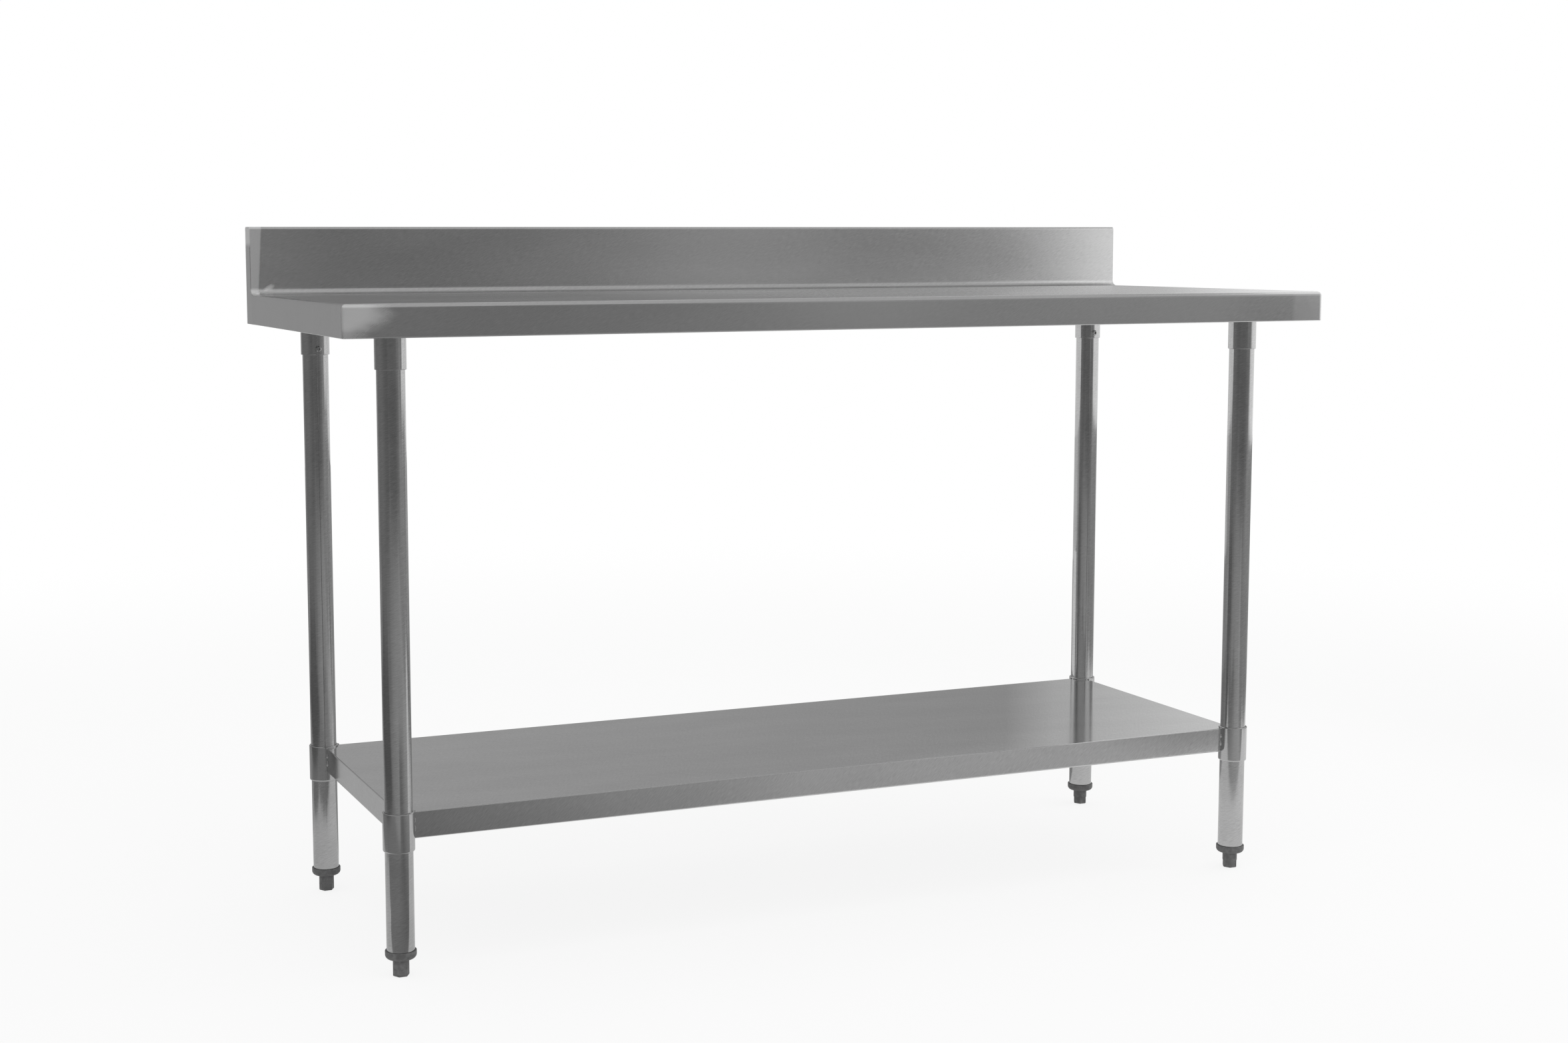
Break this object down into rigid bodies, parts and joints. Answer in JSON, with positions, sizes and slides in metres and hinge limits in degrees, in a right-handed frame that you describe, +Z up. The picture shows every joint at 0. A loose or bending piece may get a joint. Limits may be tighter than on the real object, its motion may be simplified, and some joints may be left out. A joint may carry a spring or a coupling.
{
  "type": "stainless work table",
  "caption": "Long stainless steel work table with a low upstand along the back, tube legs, a height-adjustable folded undershelf and screw-in levelling feet.",
  "frame": {"origin": "on the floor, under the middle of the table's width and depth", "axes": "+X along the table to the right, +Y to the upstand at the back, +Z up"},
  "size_m": [1.5, 0.6, 1],
  "materials": {
    "worktop_steel": "satin brushed stainless sheet with polished corners",
    "shelf_steel": "satin brushed stainless sheet",
    "leg_steel": "polished stainless tube with fine rings",
    "socket_steel": "satin stainless sleeve",
    "collar_steel": "satin stainless sleeve with weld beads",
    "channel_steel": "galvanised sheet",
    "screw_steel": "bright stainless",
    "stud_steel": "zinc plated thread",
    "insert_plastic": "moulded dark grey plastic",
    "foot_plastic": "moulded dark grey plastic"
  },
  "bodies": {
    "frame": {"worktop": "worktop_steel", "upstand_end_left": "worktop_steel", "upstand_end_right": "worktop_steel", "cross_channel_left": "channel_steel", "cross_channel_right": "channel_steel", "centre_channel": "channel_steel", "socket_screws": "screw_steel", "captive_nuts": "stud_steel", "leg_socket_front_left": "socket_steel", "leg_socket_front_right": "socket_steel", "leg_socket_rear_left": "socket_steel", "leg_socket_rear_right": "socket_steel", "leg_front_left": "leg_steel", "leg_front_right": "leg_steel", "leg_rear_left": "leg_steel", "leg_rear_right": "leg_steel", "insert_front_left": "insert_plastic", "insert_front_right": "insert_plastic", "insert_rear_left": "insert_plastic", "insert_rear_right": "insert_plastic"},
    "shelf": {"undershelf": "shelf_steel", "shelf_channel": "channel_steel", "collar_screws": "screw_steel", "collar_front_left": "collar_steel", "collar_front_right": "collar_steel", "collar_rear_left": "collar_steel", "collar_rear_right": "collar_steel"},
    "stud_front_left": {"stud_front_left": "stud_steel"},
    "foot_front_left": {"foot_front_left": "foot_plastic"},
    "stud_front_right": {"stud_front_right": "stud_steel"},
    "foot_front_right": {"foot_front_right": "foot_plastic"},
    "stud_rear_left": {"stud_rear_left": "stud_steel"},
    "foot_rear_left": {"foot_rear_left": "foot_plastic"},
    "stud_rear_right": {"stud_rear_right": "stud_steel"},
    "foot_rear_right": {"foot_rear_right": "foot_plastic"}
  },
  "joints": [
    {"name": "shelf_height", "type": "slide", "parent": "frame", "child": "shelf", "axis": [0, 0, 1], "range_m": [-0.13, 0.58]},
    {"name": "foot_height_front_left", "type": "slide", "parent": "frame", "child": "stud_front_left", "axis": [0, 0, -1], "range_m": [0, 0.024]},
    {"name": "foot_turn_front_left", "type": "hinge", "parent": "stud_front_left", "child": "foot_front_left", "pos_m": [-0.667, -0.217, 0.012], "axis": [0, 0, 1], "range_deg": [0, 5760]},
    {"name": "foot_height_front_right", "type": "slide", "parent": "frame", "child": "stud_front_right", "axis": [0, 0, -1], "range_m": [0, 0.024]},
    {"name": "foot_turn_front_right", "type": "hinge", "parent": "stud_front_right", "child": "foot_front_right", "pos_m": [0.667, -0.217, 0.012], "axis": [0, 0, 1], "range_deg": [0, 5760]},
    {"name": "foot_height_rear_left", "type": "slide", "parent": "frame", "child": "stud_rear_left", "axis": [0, 0, -1], "range_m": [0, 0.024]},
    {"name": "foot_turn_rear_left", "type": "hinge", "parent": "stud_rear_left", "child": "foot_rear_left", "pos_m": [-0.667, 0.217, 0.012], "axis": [0, 0, 1], "range_deg": [0, 5760]},
    {"name": "foot_height_rear_right", "type": "slide", "parent": "frame", "child": "stud_rear_right", "axis": [0, 0, -1], "range_m": [0, 0.024]},
    {"name": "foot_turn_rear_right", "type": "hinge", "parent": "stud_rear_right", "child": "foot_rear_right", "pos_m": [0.667, 0.217, 0.012], "axis": [0, 0, 1], "range_deg": [0, 5760]}
  ],
  "couplings": [
    {"joint": "foot_turn_front_left", "follows": "foot_height_front_left", "rad_per_m": 4188.8},
    {"joint": "foot_turn_front_right", "follows": "foot_height_front_right", "rad_per_m": 4188.8},
    {"joint": "foot_turn_rear_left", "follows": "foot_height_rear_left", "rad_per_m": 4188.8},
    {"joint": "foot_turn_rear_right", "follows": "foot_height_rear_right", "rad_per_m": 4188.8}
  ]
}
